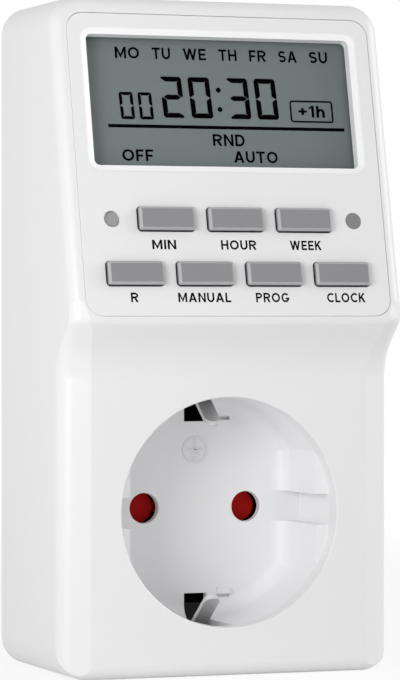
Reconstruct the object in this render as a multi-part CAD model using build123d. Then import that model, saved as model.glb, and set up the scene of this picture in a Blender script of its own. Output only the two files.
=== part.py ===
from build123d import *
import math
import os

# Lengths are in millimetres and angles in degrees.
# X runs across the body, Y runs into the wall and Z is up.
# The origin is the centre of the plug's face, where its pins stand out.

# Body
body_width = 60.4
body_above_axis = 88.0
body_below_axis = 28.0
body_depth = 34.5
corner_radius = 5.0
edge_round = 2.5
wall = 2.0

# Shoulder between the lower face and the tilted panel
shoulder_start = 22.5
shoulder_radius = 10.3
shoulder_angle = 42.6
shoulder_reach = 5.6
shoulder_round = 1.6
panel_tilt = 12.7

# Slanted bands along both front edges
band_width = 5.1
band_depth = 2.3
band_round = 3.5
band_fade = 15.5
band_lift = 1.65
band_reach = 20.7
band_steps = 12

# Control panel: rows are heights above its lower edge, measured along its slope
panel_side_margin = 2.47
panel_base_margin = 0.93
panel_top_margin = 2.75
panel_radius = 3.1
panel_flange = 1.6
panel_thickness = 2.4
panel_gap = 0.06
panel_edge_round = 0.18
ledge_width = 1.6
ledge_grow = 1.0
ledge_overlap = 0.4
ledge_thickness = 1.6
hook_rows = (5.55, 16.85)
hook_width = 4.0
hook_thickness = 0.9
hook_reach = 0.5

# Display
display_side_margin = 3.57
display_top_margin = 3.65
display_row = 26.35
display_corner = 1.0
bezel_width = 1.3
bezel_depth = 0.6
window_border = 0.9
window_thickness = 0.8
glass_thickness = 2.2
holder_wall = 0.8
strip_width = 2.0
strip_inset = 1.2
strip_thickness = 2.0

# Keys
key_side_margin = 3.935
key_spacing = 2.53
key_height = 4.0
key_rise = 1.2
key_bevel = 0.45
key_corner = 0.35
key_face_corner = 0.15
key_opening_corner = 0.75
key_gap = 0.2
key_shift = 0.14
upper_key_row = 16.85
lower_key_row = 7.35
key_flange = 0.7
key_flange_thickness = 0.7
key_seat = 0.05
key_travel = 1.0
upper_keys = ("key_minute", "key_hour", "key_week")
lower_keys = ("key_recall", "key_manual", "key_program", "key_clock")

# Reset button and indicator
side_item_margin = 5.73
side_hole_radius = 1.45
reset_play = 0.1
lens_play = 0.05
side_flange_radius = 2.2
reset_recess = 0.6
lens_flange = 0.8
lamp_radius = 1.6
lamp_dome = 1.2
lamp_gap = 0.2

# Key mat and control board
board_thickness = 1.6
board_side_margin = 2.33
board_end_gap = 1.6
board_corner = 1.5
mat_thickness = 1.0
mat_side_margin = 3.53
mat_gap = 0.7
mat_base = 2.15
dome_radius = 1.9
dome_top_radius = 1.5
dome_gap = 0.15
boss_radius = 1.8
boss_side_margin = 4.73
boss_screw_grip = 3.6
cell_radius = 7.5
cell_thickness = 5.4
cell_round = 0.7
cell_margin = 4.9
cell_row = 36.5
chip_size = 8.0
chip_thickness = 1.2
chip_corner = 0.5
chip_place = (0.0, 14.5)
crystal_radius = 1.0
crystal_length = 6.0
crystal_margin = 10.4
crystal_row = 28.5

# Screws
screw_radius = 0.95
screw_clearance = 0.05
screw_head_radius = 1.8
screw_head_height = 1.1
screw_spare = 0.8
slot_width = 0.5
slot_depth = 0.45
housing_screw_radius = 1.4
housing_head_radius = 2.6
housing_head_height = 1.0
housing_screw_length = 9.0

# Plug: pins, body and earth strap
plug_length = 17.5
plug_radius = 18.4
plug_flat_margin = 7.0
plug_wall = 2.2
plug_face_thickness = 3.0
plug_edge_round = 0.8
pin_spacing = 19.0
pin_radius = 2.4
pin_length = 19.0
pin_tip_round = 1.6
pin_fit = 0.05
pin_seat_radius = 2.8
pin_head_radius = 3.6
pin_head_thickness = 1.6
earth_hole_margin = 8.4
earth_hole_radius = 2.5
earth_sleeve_wall = 0.7
strap_thickness = 0.8
strap_bend = 1.2
plug_strap_width = 4.8
plug_strap_clearance = 0.1
plug_strap_end = 1.0
plug_strap_root = 1.6
plug_strap_round = 1.2

# Rear cover and housing posts
cover_gap = 0.1
cover_thickness = 2.0
post_size = 7.2
post_root = 0.5
lower_post_start = 12.0
upper_post_start = 16.0

# Socket recess
recess_play = 1.3
recess_depth = 17.4
mouth_round = 0.25
collar_depth = 3.6
collar_wall = 2.6
insert_wall = 1.9
floor_thickness = 1.6
floor_round = 2.6
flat_play = 0.4
groove_width = 5.3
entry_play = 0.25
entry_round = 0.2
earth_slot_play = 0.7
earth_slot_start = 15.05
ear_radius = 2.6
ear_inset = (7.8, 9.0)
ear_root = 9.0
ear_start = 8.0
ear_thickness = 2.0
pad_place = (5.2, 14.72)
pad_size = (2.45, 1.06)
pad_height = 0.6
slit_level = 15.6
slit_height = 0.55
slit_depth = 0.7

# Shutter and its spring
shutter_gap = 2.2
shutter_thickness = 1.8
shutter_cover = 0.1
shutter_neck_height = 1.8
shutter_neck_thickness = 0.7
shutter_hub_radius = 4.2
shutter_collar_radius = 3.0
pivot_radius = 1.5
pivot_clearance = 0.05
spring_wire = 0.3
spring_coil_radius = 0.7
spring_turns = 4
spring_length = 7.0
stop_width = 2.8
stop_height = 1.6

# Contacts
base_radius = 18.2
base_half_height = 17.2
base_gap = 0.2
base_post_radius = 1.9
base_post_margin = 2.1
base_post_angle = 57.7
base_sink_depth = 3.2
bracket_gap = 0.9
sleeve_play = 0.1
sleeve_wall = 0.8
sleeve_clearance = 0.05
sleeve_split = 0.6
sleeve_ring_length = 3.0
link_thickness = 0.8
link_width = 4.0
link_start = 3.0
clip_width = 2.8
clip_arm_gap = 0.3
clip_bend_depth = 16.0
clip_tip_depth = 8.3
clip_tip_offset = 15.0
tip_flat = 0.1

# Power board
power_side_margin = 3.2
power_top_margin = 7.0
power_board_row = 33.5
wire_radius = 0.7
wire_bend = 1.4
wire_gap = 0.1
wire_overlap = 4.5
power_post_radius = 2.2
power_post_inset = 3.4
case_round = 0.7
relay_size = (15.5, 15.3, 19.0)
relay_margin = 0.3
relay_level = 12.5
film_size = (18.0, 12.0, 8.0)
film_margin = 2.8
film_drop = 8.5
electrolytic_radius = 5.0
electrolytic_height = 12.0
electrolytic_margin = 2.8
electrolytic_level = 11.5
resistor_count = 3
resistor_radius = 1.2
resistor_length = 7.0
resistor_pitch = 4.0
resistor_gap = 3.5
ribbon_width = 10.0
ribbon_thickness = 0.9
ribbon_margin = 7.4
ribbon_row = 7.5
ribbon_landing = 3.0
ribbon_lead = 4.5
ribbon_bend = 1.8

# Small lengths used while cutting, and for finding edges
overshoot = 1.0
tolerance = 0.01

# Planes and sizes worked out from the values above
half_width = body_width / 2
plug_face = 0.0
back_plane = plug_face - plug_length
front_face = back_plane - body_depth
cover_inner = back_plane - cover_thickness
pin_offset = pin_spacing / 2
plug_flat = pin_offset + plug_flat_margin
earth_hole_offset = plug_radius - earth_hole_margin
recess_radius = plug_radius + recess_play
flat_offset = plug_flat + flat_play
entry_radius = pin_radius + entry_play
recess_floor = front_face + recess_depth
floor_back = recess_floor + floor_thickness
floor_middle = recess_floor + floor_thickness / 2
collar_back = front_face + collar_depth
insert_radius = recess_radius + insert_wall
shutter_front = floor_back + shutter_gap
shutter_back = shutter_front + shutter_thickness
shutter_lobe_radius = entry_radius + shutter_cover
base_front = shutter_back + base_gap
base_back = cover_inner - strap_thickness - bracket_gap
base_seat = base_back - base_sink_depth
sleeve_inner_radius = pin_radius + sleeve_play
sleeve_radius = sleeve_inner_radius + sleeve_wall
clip_arm_offset = recess_radius + clip_arm_gap + strap_thickness / 2
wire_depth = cover_inner - wire_gap - wire_radius
power_board_back = wire_depth - wire_radius - wire_gap
power_board_front = power_board_back - board_thickness
power_half_width = half_width - wall - power_side_margin
power_board_top = body_above_axis - wall - power_top_margin
component_limit = power_half_width - power_post_inset - screw_head_radius
relay_offset = component_limit - relay_margin - relay_size[0] / 2
film_offset = film_margin - component_limit + film_size[0] / 2
electrolytic_offset = electrolytic_margin - component_limit + electrolytic_radius
wire_top = power_board_row + wire_overlap
plug_hollow_end = plug_face - plug_face_thickness
pin_back = plug_hollow_end - pin_head_thickness
strap_root = back_plane + plug_strap_root
ear_offset = (half_width - ear_inset[0], body_below_axis - ear_inset[1])
pilot_radius = screw_radius + screw_clearance
sin_tilt = math.sin(math.radians(panel_tilt))
cos_tilt = math.cos(math.radians(panel_tilt))
sin_slope = math.sin(math.radians(shoulder_angle))
cos_slope = math.cos(math.radians(shoulder_angle))


def meeting(first, first_way, second, second_way):
    """Where two lines in a plane cross."""
    gap = second - first
    cross = first_way.X * second_way.Y - first_way.Y * second_way.X
    return first + first_way * ((gap.X * second_way.Y - gap.Y * second_way.X) / cross)


def shoulder_points(inset):
    """Arc centre, arc end, ridge and panel direction of the side view, drawn in by inset."""
    centre = Vector(front_face - shoulder_radius, shoulder_start)
    spoke = Vector(cos_slope, sin_slope)
    slope = Vector(-sin_slope, cos_slope)
    rise = Vector(sin_tilt, cos_tilt)
    foot = centre + spoke * shoulder_radius
    ridge = foot + slope * ((foot.X - front_face + shoulder_reach) / sin_slope)
    inner_foot = foot + spoke * inset
    inner_ridge = meeting(inner_foot, slope, ridge + Vector(cos_tilt, -sin_tilt) * inset, rise)
    return centre, inner_foot, inner_ridge, rise


# The panel's sizes follow from the ridge, the top of the body and the margins.
ridge_point = shoulder_points(0)[2]
slope_length = (body_above_axis - ridge_point.Y) / cos_tilt
panel_half_width = half_width - panel_side_margin
panel_height = slope_length - panel_base_margin - panel_top_margin
ledge_back = panel_flange + ledge_thickness
display_half_width = panel_half_width - display_side_margin
display_height = panel_height - display_top_margin - display_row
key_width = (2 * (panel_half_width - key_side_margin) - key_spacing * (len(lower_keys) - 1)) / len(lower_keys)
key_pitch = key_width + key_spacing
key_back = panel_thickness + key_seat + key_flange_thickness
window_back = panel_thickness + window_thickness
glass_back = window_back + glass_thickness
board_front = glass_back + strip_thickness
board_back = board_front + board_thickness
holder_base = display_row - window_border - holder_wall
mat_top = holder_base - mat_gap
side_item_offset = panel_half_width - side_item_margin
boss_offset = panel_half_width - boss_side_margin
board_half_width = panel_half_width - board_side_margin
cell_offset = board_half_width - cell_margin - cell_radius
crystal_offset = crystal_margin - board_half_width + crystal_length / 2
ribbon_offset = ribbon_margin - board_half_width + ribbon_width / 2
lower_boss_space = lower_key_row + key_height / 2 + key_gap + key_flange
boss_rows = (
    (upper_key_row + side_flange_radius + holder_base) / 2,
    (upper_key_row - side_flange_radius + lower_boss_space) / 2,
)
reset_place = (-side_item_offset, upper_key_row)
lamp_place = (side_item_offset, upper_key_row)
boss_places = [(side * boss_offset, row) for side in (-1, 1) for row in boss_rows]
ear_places = [(side * ear_offset[0], level * ear_offset[1]) for side in (-1, 1) for level in (-1, 1)]
base_post_reach = base_radius - base_post_margin
base_post_places = [
    (
        side * base_post_reach * math.cos(math.radians(base_post_angle)),
        side * base_post_reach * math.sin(math.radians(base_post_angle)),
    )
    for side in (-1, 1)
]
power_post_places = [
    (side * (power_half_width - power_post_inset), level)
    for side in (-1, 1)
    for level in (power_board_row + power_post_inset, power_board_top - power_post_inset)
]
post_inset = wall - post_root + post_size / 2
post_places = [
    (side * (half_width - post_inset), level)
    for side in (-1, 1)
    for level in (post_inset - body_below_axis, body_above_axis - post_inset)
]

# The panel's own frame: X across, Y up the slope from its lower edge, Z out of its face.
panel_base = ridge_point + Vector(sin_tilt, cos_tilt) * panel_base_margin
panel_plane = Plane(
    origin=(0, panel_base.X, panel_base.Y),
    x_dir=(1, 0, 0),
    z_dir=(0, -cos_tilt, sin_tilt),
)


def front_depth(height):
    """Depth of the front surface at a height."""
    centre, foot, ridge, rise = shoulder_points(0)
    if height <= centre.Y:
        return front_face
    if height <= foot.Y:
        return centre.X + math.sqrt(shoulder_radius ** 2 - (height - centre.Y) ** 2)
    if height <= ridge.Y:
        return ridge.X + (ridge.Y - height) * sin_slope / cos_slope
    return ridge.X + (height - ridge.Y) * sin_tilt / cos_tilt


def side_outline(inset, back):
    """The body seen from the side, as depth and height."""
    centre, foot, ridge, rise = shoulder_points(inset)
    top = body_above_axis - inset
    bottom = inset - body_below_axis
    head = ridge + rise * ((top - ridge.Y) / cos_tilt)
    blend = CenterArc((centre.X, centre.Y), shoulder_radius + inset, 0, shoulder_angle)
    rest = Polyline(
        blend @ 1,
        (ridge.X, ridge.Y),
        (head.X, top),
        (back, top),
        (back, bottom),
        (front_face + inset, bottom),
        blend @ 0,
    )
    return make_face([blend, rest])


def front_outline(inset):
    """The body seen from the front, as width and height."""
    width = body_width - 2 * inset
    height = body_above_axis + body_below_axis - 2 * inset
    middle = (body_above_axis - body_below_axis) / 2
    return Pos(0, middle) * RectangleRounded(width, height, corner_radius - inset)


def slab(sketch, near, far):
    """A sketch of width and height made solid between two depths."""
    return extrude(Plane.XZ.offset(-near) * sketch, amount=near - far)


def disc(place, radius, near, far):
    return slab(Pos(*place) * Circle(radius), near, far)


def tube(place, radius, inner_radius, near, far):
    return slab(Pos(*place) * (Circle(radius) - Circle(inner_radius)), near, far)


def block(low, high):
    """A box from its lowest to its highest corner."""
    size = [high[k] - low[k] for k in range(3)]
    return Pos(*low) * Box(*size, align=(Align.MIN, Align.MIN, Align.MIN))


def span(side, inner, outer):
    """Lowest and highest value of a stretch on the positive or the negative side."""
    return sorted((side * inner, side * outer))


def panel_slab(sketch, near, far):
    """A sketch on the panel made solid between two depths under its surface."""
    return extrude(panel_plane.offset(-near) * sketch, amount=near - far)


def panel_disc(place, radius, near, far):
    return panel_slab(Pos(*place) * Circle(radius), near, far)


def panel_edges(shape, depth):
    """Edges of a shape that lie at one depth under the panel's surface."""
    level = panel_plane.origin.dot(panel_plane.z_dir) - depth
    return [edge for edge in shape.edges() if abs(edge.center().dot(panel_plane.z_dir) - level) < tolerance]


def panel_outline(grow):
    width = 2 * (panel_half_width + grow)
    outline = RectangleRounded(width, panel_height + 2 * grow, panel_radius + grow)
    return Pos(0, panel_height / 2) * outline


def display_outline(grow, radius):
    outline = RectangleRounded(2 * (display_half_width + grow), display_height + 2 * grow, radius)
    return Pos(0, display_row + display_height / 2) * outline


def key_places():
    """Name and place of every key."""
    places = []
    for row, names in ((upper_key_row, upper_keys), (lower_key_row, lower_keys)):
        start = key_shift - key_pitch * (len(names) - 1) / 2
        places += [(name, (start + key_pitch * count, row)) for count, name in enumerate(names)]
    return places


def band_section(level, inset, rounded):
    """What the slanted band cuts away at one height, on the right-hand side."""
    along = Vector(band_width, band_depth).normalized()
    out = Vector(along.Y, -along.X)
    fade = max(0.0, level - shoulder_start) / band_fade
    shift = out * (band_lift * fade ** 2 - inset)
    corner = Vector(half_width, front_depth(level) + band_depth) + shift
    far = body_width / 2
    start = corner - along * far
    if rounded:
        half_turn = (math.pi / 2 - math.atan2(band_depth, band_width)) / 2
        tangent = band_round * math.tan(half_turn)
        begin = corner - along * tangent
        finish = corner + Vector(0, tangent)
        lines = [
            Line((start.X, start.Y), (begin.X, begin.Y)),
            TangentArc((begin.X, begin.Y), (finish.X, finish.Y), tangent=(along.X, along.Y)),
            Polyline(
                (finish.X, finish.Y), (finish.X + far, finish.Y),
                (finish.X + far, start.Y), (start.X, start.Y),
            ),
        ]
    else:
        finish = corner + along * far
        lines = [Polyline((start.X, start.Y), (finish.X, finish.Y), (finish.X, start.Y), (start.X, start.Y))]
    return Pos(0, 0, level) * make_face(lines)


def band_cutters(inset, rounded):
    """The space in front of the slanted bands, both sides."""
    drop = shoulder_start + body_below_axis + overshoot
    low = extrude(band_section(shoulder_start, inset, rounded), amount=-drop)
    levels = [shoulder_start + band_reach * count / band_steps for count in range(band_steps + 1)]
    high = loft([band_section(level, inset, rounded) for level in levels])
    pieces = [low.solid(), high.solid()]
    return pieces + [mirror(piece, about=Plane.YZ).solid() for piece in pieces]


def body_form(inset, back):
    """The body's outer form, or the hollow under its wall."""
    reach = shoulder_reach + overshoot
    across = extrude(Plane.YZ * side_outline(inset, back), amount=half_width + overshoot, both=True)
    form = slab(front_outline(inset), front_face - reach, back) & across
    if inset == 0:
        form = rounded_front(form)
    for cutter in band_cutters(inset, inset == 0):
        form = form - cutter
    return form


def rounded_front(form):
    """Rounds the ridge, then every edge between the front surface and the sides."""
    ridge = [
        edge for edge in form.edges()
        if abs(edge.center().Y - ridge_point.X) < tolerance
        and abs(edge.center().Z - ridge_point.Y) < tolerance
    ]
    form = fillet(ridge, shoulder_round)
    return fillet([edge for edge in form.edges() if on_front_rim(edge)], edge_round)


def on_front_rim(edge):
    """True for an edge between the front surface and the sides, top or bottom."""
    spots = [edge @ 0, edge @ 1]
    reach = shoulder_round / 2
    near_front = all(abs(spot.Y - front_depth(spot.Z)) < reach for spot in spots + [edge.center()])
    crosses = abs(spots[0].X - spots[1].X) > half_width
    level = edge.center().Z
    on_end = level < corner_radius - body_below_axis or level > body_above_axis - corner_radius
    return near_front and (on_end or not crosses)


def front_housing():
    """White shell with the panel's pocket, the socket's mouth and the screw posts."""
    shell = body_form(0, back_plane) - body_form(wall, back_plane + overshoot)
    shell = shell + panel_slab(panel_outline(ledge_grow), panel_flange - ledge_overlap, ledge_back)
    shell = shell + disc((0, 0), recess_radius + collar_wall, front_face + wall / 2, collar_back)
    for place in ear_places:
        shell = shell + disc(place, ear_radius, front_face + wall / 2, front_face + ear_start)
    for place in post_places:
        start = upper_post_start if place[1] > 0 else lower_post_start
        post = Pos(*place) * Rectangle(post_size, post_size)
        shell = shell + slab(post, front_face + start, cover_inner)
    shell = shell - panel_slab(panel_outline(0), -overshoot, panel_flange)
    shell = shell - panel_slab(panel_outline(-ledge_width), 0, ledge_back + overshoot)
    shell = shell - disc((0, 0), recess_radius, front_face - overshoot, collar_back + overshoot)
    for place in ear_places:
        shell = shell - disc(place, pilot_radius, front_face + wall, front_face + ear_start + overshoot)
    for place in post_places:
        start = cover_inner - housing_screw_length - screw_spare
        shell = shell - disc(place, housing_screw_radius + screw_clearance, start, cover_inner + overshoot)
    mouth = [
        edge for edge in shell.edges().filter_by(GeomType.CIRCLE)
        if abs(edge.radius - recess_radius) < tolerance and abs(edge.center().Y - front_face) < tolerance
    ]
    return fillet(mouth, mouth_round)


def panel_hook(side, row):
    """Snap hook that holds the insert behind the housing's ledge."""
    outer = panel_half_width - ledge_width - 2 * panel_gap
    near = ledge_back + key_seat
    far = near + hook_thickness
    arm = Pos(side * (outer - hook_thickness / 2), row) * Rectangle(hook_thickness, hook_width)
    nose_width = hook_thickness + hook_reach
    nose = Pos(side * (outer + hook_reach - nose_width / 2), row) * Rectangle(nose_width, hook_width)
    return panel_slab(arm, panel_thickness, far) + panel_slab(nose, near, far)


def control_panel():
    """Insert with the display opening, the key openings and the board's bosses."""
    plate = panel_slab(panel_outline(-panel_gap), 0, panel_flange)
    plate = fillet(panel_edges(plate, 0), panel_edge_round)
    plate = plate + panel_slab(panel_outline(-ledge_width - 2 * panel_gap), panel_flange, panel_thickness)
    plate = plate - loft([
        panel_plane * display_outline(bezel_width, display_corner + bezel_width),
        panel_plane.offset(-bezel_depth) * display_outline(0, display_corner),
    ])
    through = panel_thickness + overshoot
    plate = plate - panel_slab(display_outline(0, display_corner), 0, through)
    opening = RectangleRounded(key_width + 2 * key_gap, key_height + 2 * key_gap, key_opening_corner)
    for name, place in key_places():
        plate = plate - panel_slab(Pos(*place) * opening, -overshoot, through)
    for place in (reset_place, lamp_place):
        plate = plate - panel_disc(place, side_hole_radius, -overshoot, through)
    for place in boss_places:
        plate = plate + panel_disc(place, boss_radius, panel_thickness, board_front)
        plate = plate - panel_disc(place, pilot_radius, panel_flange, board_front + overshoot)
    for side in (-1, 1):
        for row in hook_rows:
            plate = plate + panel_hook(side, row)
    return plate


def display_window():
    return panel_slab(display_outline(window_border, display_corner), panel_thickness, window_back)


def display_glass():
    return panel_slab(display_outline(window_border, display_corner), window_back, glass_back)


def glass_holder():
    """Frame that holds the glass between the insert and the board."""
    outer = display_outline(window_border + holder_wall, display_corner + holder_wall)
    inner = display_outline(window_border + panel_gap, display_corner)
    return panel_slab(outer - inner, panel_thickness, board_front)


def contact_strips():
    """Rubber strips that join the glass to the board, one along each long edge."""
    strips = []
    reach = display_height / 2 + window_border - strip_inset - strip_width / 2
    for side in (-1, 1):
        middle = display_row + display_height / 2 + side * reach
        strip = Pos(0, middle) * Rectangle(2 * display_half_width, strip_width)
        strips.append(panel_slab(strip, glass_back, board_front))
    return Compound(children=strips)


def key(place):
    """Grey key with bevelled edges and a flange behind the insert."""
    seat = panel_thickness + key_seat
    outline = Pos(*place) * RectangleRounded(key_width, key_height, key_corner)
    face_size = (key_width - 2 * key_bevel, key_height - 2 * key_bevel)
    face = Pos(*place) * RectangleRounded(*face_size, key_face_corner)
    cap = panel_slab(outline, key_bevel - key_rise, seat)
    cap = cap + loft([
        panel_plane.offset(key_rise - key_bevel) * outline,
        panel_plane.offset(key_rise) * face,
    ])
    grow = 2 * (key_gap + key_flange)
    flange = Pos(*place) * RectangleRounded(key_width + grow, key_height + grow, key_corner)
    return cap + panel_slab(flange, seat, key_back)


def reset_button():
    seat = panel_thickness + key_seat
    shaft = panel_disc(reset_place, side_hole_radius - reset_play, reset_recess, seat)
    return shaft + panel_disc(reset_place, side_flange_radius, seat, key_back)


def indicator_lens():
    shaft = panel_disc(lamp_place, side_hole_radius - lens_play, 0, panel_thickness)
    return shaft + panel_disc(lamp_place, side_flange_radius, panel_thickness, panel_thickness + lens_flange)


def indicator_lamp():
    """Lamp that stands on the board under its lens."""
    front = panel_thickness + lens_flange + lamp_gap
    body = panel_disc(lamp_place, lamp_radius, front, board_front)
    return fillet(panel_edges(body, front), lamp_dome)


def key_mat():
    """Silicone mat with a dome under every key and under the reset button."""
    half = panel_half_width - mat_side_margin
    sheet = Pos(0, (mat_top + mat_base) / 2) * Rectangle(2 * half, mat_top - mat_base)
    mat = panel_slab(sheet, board_front - mat_thickness, board_front)
    notch = boss_radius + panel_gap
    for place in boss_places:
        way = Pos(place[0] * 2, place[1]) * Rectangle(2 * abs(place[0]), 2 * notch)
        mat = mat - panel_disc(place, notch, 0, board_front + overshoot)
        mat = mat - panel_slab(way, 0, board_front + overshoot)
    mat = mat - panel_disc(lamp_place, lamp_radius + panel_gap, 0, board_front + overshoot)
    top = key_back + key_travel + dome_gap
    for place in [place for name, place in key_places()] + [reset_place]:
        mat = mat + loft([
            panel_plane.offset(-top) * Pos(*place) * Circle(dome_top_radius),
            panel_plane.offset(mat_thickness - board_front) * Pos(*place) * Circle(dome_radius),
        ])
    return mat


def control_board():
    outline = RectangleRounded(2 * board_half_width, panel_height - 2 * board_end_gap, board_corner)
    board = panel_slab(Pos(0, panel_height / 2) * outline, board_front, board_back)
    for place in boss_places:
        board = board - panel_disc(place, pilot_radius, board_front - overshoot, board_back + overshoot)
    return board


def screw(radius, head_radius, head_height, length):
    """Screw with a cross slot, its head above the ground plane and its shank below."""
    head = extrude(Circle(head_radius), amount=head_height)
    shank = extrude(Circle(radius), amount=-length)
    cross = Rectangle(3 * head_radius, slot_width) + Rectangle(slot_width, 3 * head_radius)
    slots = extrude(Plane.XY.offset(head_height - slot_depth) * cross, amount=head_height)
    return (head + shank - slots).solid()


def small_screws(planes, length):
    """The same small screw on every plane."""
    shape = screw(screw_radius, screw_head_radius, screw_head_height, length)
    return Compound(children=[plane * shape for plane in planes])


def facing_back(places, depth):
    """Planes at one depth that face the wall."""
    return [Plane(origin=(x, depth, z), x_dir=(1, 0, 0), z_dir=(0, 1, 0)) for x, z in places]


def control_screws():
    """Screws that hold the control board to the insert's bosses."""
    back = Plane(
        origin=panel_plane.origin - panel_plane.z_dir * board_back,
        x_dir=(-1, 0, 0),
        z_dir=-panel_plane.z_dir,
    )
    return small_screws([back * Pos(-x, row) for x, row in boss_places], boss_screw_grip + board_thickness)


def control_chip():
    chip = Pos(*chip_place) * RectangleRounded(chip_size, chip_size, chip_corner)
    return panel_slab(chip, board_back, board_back + chip_thickness)


def timing_crystal():
    can = Rot(0, 90, 0) * Cylinder(crystal_radius, crystal_length)
    return panel_plane.offset(-board_back - crystal_radius) * Pos(crystal_offset, crystal_row) * can


def backup_cell():
    cell = panel_disc((cell_offset, cell_row), cell_radius, board_back, board_back + cell_thickness)
    return fillet(panel_edges(cell, board_back + cell_thickness), cell_round)


def recess_hollow():
    """The socket's hollow behind the collar, with side flats and guide grooves."""
    ring = Circle(recess_radius)
    main = slab(ring & Rectangle(2 * flat_offset, 2 * recess_radius), collar_back, recess_floor)
    deep = [edge for edge in main.edges() if abs(edge.center().Y - recess_floor) < tolerance]
    main = fillet(deep, floor_round)
    groove = slab(ring & Rectangle(2 * recess_radius, groove_width), collar_back, recess_floor)
    return main + groove + slab(ring, collar_back - overshoot, collar_back)


def ear(place):
    """Screw ear that grows out of the cup's wall."""
    root = Vector(*place).normalized() * (Vector(*place).length - ear_root)
    edges = (Pos(*place) * Circle(ear_radius)).edges() + (Pos(root.X, root.Y) * Circle(ear_radius)).edges()
    near = front_face + ear_start
    return slab(make_hull(edges), near, near + ear_thickness)


def socket_insert():
    """White cup with the pin entries, the earth slots, the ears and the shutter's pivot."""
    cup = disc((0, 0), insert_radius, collar_back, floor_back)
    for place in ear_places:
        cup = cup + ear(place) - disc(place, pilot_radius, front_face, floor_back)
    cup = cup - recess_hollow()
    slot = clip_width / 2 + earth_slot_play
    for side in (-1, 1):
        low, high = span(side, earth_slot_start, insert_radius + overshoot)
        cup = cup - block((-slot, collar_back - overshoot, low), (slot, floor_back + overshoot, high))
        entry = (side * pin_offset, 0)
        cup = cup - disc(entry, entry_radius, recess_floor - overshoot, floor_back + overshoot)
        pad = Pos(pad_place[0], side * pad_place[1]) * Rectangle(*pad_size)
        cup = cup + slab(pad, recess_floor - pad_height, floor_middle)
        slit = Pos(pad_place[0], side * slit_level) * Rectangle(pad_size[0], slit_height)
        cup = cup - slab(slit, recess_floor - overshoot, recess_floor + slit_depth)
    cup = cup + disc((0, 0), pivot_radius, floor_middle, base_front - base_gap / 2)
    for place in base_post_places:
        cup = cup + disc(place, base_post_radius, floor_middle, base_front)
        cup = cup - disc(place, pilot_radius, floor_back, base_front + overshoot)
    entries = [
        edge for edge in cup.edges().filter_by(GeomType.CIRCLE)
        if abs(edge.radius - entry_radius) < tolerance and abs(edge.center().Y - recess_floor) < tolerance
    ]
    return fillet(entries, entry_round)


def insert_screws():
    """Screws that hold the cup's ears to the housing."""
    seat = front_face + ear_start + ear_thickness
    length = seat - front_face - wall - screw_spare
    return small_screws(facing_back(ear_places, seat), length)


def shutter():
    """Red bar that turns about the pivot, with a round pad behind each entry."""
    neck = Rectangle(pin_spacing, shutter_neck_height)
    body = slab(neck, shutter_back - shutter_neck_thickness, shutter_back)
    body = body + disc((0, 0), shutter_hub_radius, shutter_front, shutter_back)
    for side in (-1, 1):
        body = body + disc((side * pin_offset, 0), shutter_lobe_radius, shutter_front, shutter_back)
    body = body + disc((0, 0), shutter_collar_radius, floor_back + base_gap, shutter_back)
    return body - disc((0, 0), pivot_radius + pivot_clearance, floor_back, base_front)


def shutter_spring():
    """Coil spring that pushes the shutter back over the entries."""
    coil = Helix(pitch=spring_length / spring_turns, height=spring_length, radius=spring_coil_radius)
    start = Plane(origin=coil @ 0, z_dir=coil % 0)
    wire = sweep(start * Circle(spring_wire / 2), path=coil, is_frenet=True)
    level = -shutter_lobe_radius - spring_wire - spring_length
    return Pos(pin_offset, (shutter_front + shutter_back) / 2, level) * wire


def contact_base():
    """Block behind the shutter that holds both contact sleeves and the spring's stop."""
    outline = Circle(base_radius) & Rectangle(2 * base_radius, 2 * base_half_height)
    body = slab(outline, base_front, base_back)
    for side in (-1, 1):
        place = (side * pin_offset, 0)
        bore = sleeve_radius + sleeve_clearance
        body = body - disc(place, bore, base_front - overshoot, base_back + overshoot)
        low, high = span(side, pin_offset, pin_offset + sleeve_radius + link_thickness + 2 * sleeve_clearance)
        half = link_width / 2 + sleeve_clearance
        body = body - block((low, base_front + link_start, -half), (high, base_back + overshoot, half))
    for place in base_post_places:
        body = body - disc(place, pilot_radius, base_front - overshoot, base_back)
        sink = screw_head_radius + screw_clearance
        body = body - disc(place, sink, base_seat, base_back + overshoot)
    top = -shutter_lobe_radius - spring_length - 2 * spring_wire
    low = (pin_offset - stop_width / 2, shutter_front, top - stop_height)
    return body + block(low, (pin_offset + stop_width / 2, base_front + overshoot, top))


def base_screws():
    """Screws that hold the contact base to the cup's posts."""
    return small_screws(facing_back(base_post_places, base_seat), base_seat - floor_back - screw_spare)


def contact_sleeve(side):
    """Springy brass sleeve that grips one pin."""
    near = base_front + base_gap
    far = base_back - base_gap
    sleeve = tube((side * pin_offset, 0), sleeve_radius, sleeve_inner_radius, near, far)
    half = sleeve_split / 2
    low = (side * pin_offset - half, near - overshoot, -sleeve_radius)
    return sleeve - block(low, (side * pin_offset + half, far - sleeve_ring_length, sleeve_radius))


def link_strip(side, far):
    """Flat strip beside a contact sleeve, back to a depth."""
    inner = pin_offset + sleeve_radius + sleeve_clearance / 2
    low, high = span(side, inner, inner + link_thickness)
    near = base_front + link_start + sleeve_clearance
    return block((low, near, -link_width / 2), (high, far, link_width / 2))


def neutral_link():
    """Strip from the left contact sleeve back to the head of the left pin."""
    inner = pin_offset + sleeve_radius + sleeve_clearance / 2
    low, high = span(-1, pin_offset + link_thickness, inner + link_thickness)
    tab = block((low, pin_back - link_thickness, -link_width / 2), (high, pin_back, link_width / 2))
    return link_strip(-1, pin_back) + tab


def riser(side, level):
    """Wire that rises beside a contact strip to the power board."""
    middle = side * (pin_offset + sleeve_radius + (sleeve_clearance + link_thickness) / 2)
    wire = Cylinder(wire_radius, wire_top - level, align=(Align.CENTER, Align.CENTER, Align.MIN))
    return Pos(middle, wire_depth, level) * wire


def neutral_lead():
    return riser(-1, link_width / 2)


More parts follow.
